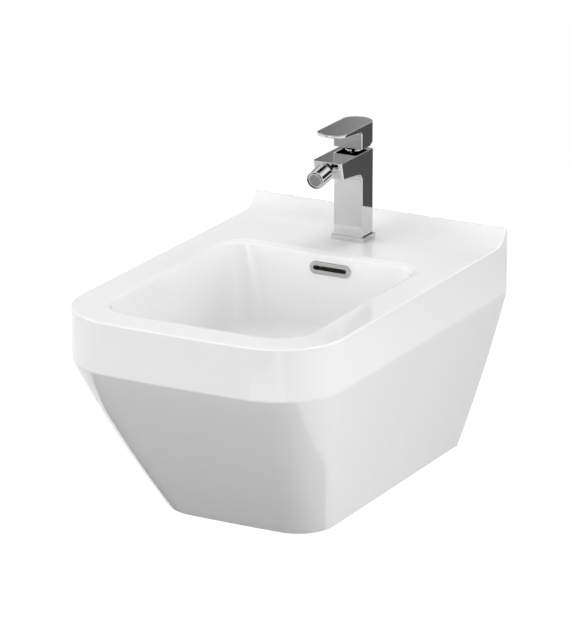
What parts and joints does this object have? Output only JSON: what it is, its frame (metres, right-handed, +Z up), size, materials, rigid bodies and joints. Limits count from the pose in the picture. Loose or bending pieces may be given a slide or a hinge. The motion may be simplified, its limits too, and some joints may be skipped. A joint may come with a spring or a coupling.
{
  "type": "wall-hung bidet",
  "caption": "Wall-hung ceramic bidet with a tapered body, rounded basin, raised rear lip, single-lever mixer with a swivelling spray, overflow trim and push-button waste.",
  "frame": {"origin": "midway between the two wall fixing holes, on the wall plane", "axes": "+Z up, +Y into the wall, so the front of the bidet points to -Y; +X is on the right of someone facing it"},
  "size_m": [0.355, 0.52, 0.4285],
  "materials": {
    "white_glaze": "glossy white glaze",
    "chrome": "polished",
    "plain_steel": "zinc plated",
    "brass": "machined",
    "rubber": "matte",
    "white_plastic": "moulded",
    "grey_plastic": "moulded",
    "black_plastic": "moulded",
    "disc_ceramic": "lapped"
  },
  "bodies": {
    "fixed": {"ceramic_body": "white_glaze", "overflow_trim": "chrome", "fixing_sleeves": "white_plastic", "mixer_body": "chrome", "base_plate": "chrome", "base_gasket": "rubber", "mounting_stud": "plain_steel", "clamp_gasket": "rubber", "clamp_plate": "plain_steel", "clamp_nut": "brass", "cartridge_housing": "grey_plastic", "cartridge_seals": "rubber", "fixed_disc": "disc_ceramic", "cartridge_nut": "chrome", "dome_ring": "chrome", "socket_ring": "chrome", "waste_body": "chrome", "waste_upper_seal": "rubber", "waste_lower_seal": "rubber", "waste_lock_nut": "brass", "click_cartridge": "white_plastic"},
    "rotor": {"cartridge_rotor": "grey_plastic", "lever_pin": "plain_steel"},
    "lever": {"cartridge_stem": "plain_steel", "handle": "chrome", "grub_screw": "plain_steel", "screw_cap": "grey_plastic"},
    "disc": {"moving_disc": "disc_ceramic", "disc_driver": "grey_plastic"},
    "swivel": {"ball_seat": "white_plastic"},
    "spray": {"swivel_ball": "black_plastic", "aerator_housing": "chrome", "aerator_insert": "chrome", "aerator_screen": "plain_steel", "aerator_washer": "rubber"},
    "plug": {"plug_stem": "brass", "plug_cap": "chrome", "plug_seal": "rubber"}
  },
  "joints": [
    {"name": "handle_turn", "type": "hinge", "parent": "fixed", "child": "rotor", "pos_m": [0, -0.0725, 0.1845], "axis": [0, 0, 1], "range_deg": [-50, 50]},
    {"name": "handle_lift", "type": "hinge", "parent": "rotor", "child": "lever", "pos_m": [0, -0.0725, 0.1845], "axis": [-1, 0, 0], "range_deg": [0, 25]},
    {"name": "disc_slide", "type": "slide", "parent": "rotor", "child": "disc", "axis": [0, -1, 0], "range_m": [0, 0.0044]},
    {"name": "spray_turn", "type": "hinge", "parent": "fixed", "child": "swivel", "pos_m": [0, -0.13776, 0.18579], "axis": [0, -0.9659, -0.2588], "continuous": true},
    {"name": "spray_tilt", "type": "hinge", "parent": "swivel", "child": "spray", "pos_m": [0, -0.13776, 0.18579], "axis": [1, 0, 0], "range_deg": [-10, 20]},
    {"name": "plug_press", "type": "slide", "parent": "fixed", "child": "plug", "axis": [0, 0, -1], "range_m": [0, 0.008], "stiffness_N_per_m": 400, "springref_m": -0.004}
  ],
  "couplings": [
    {"joint": "disc_slide", "follows": "handle_lift", "m_per_rad": 0.01}
  ]
}
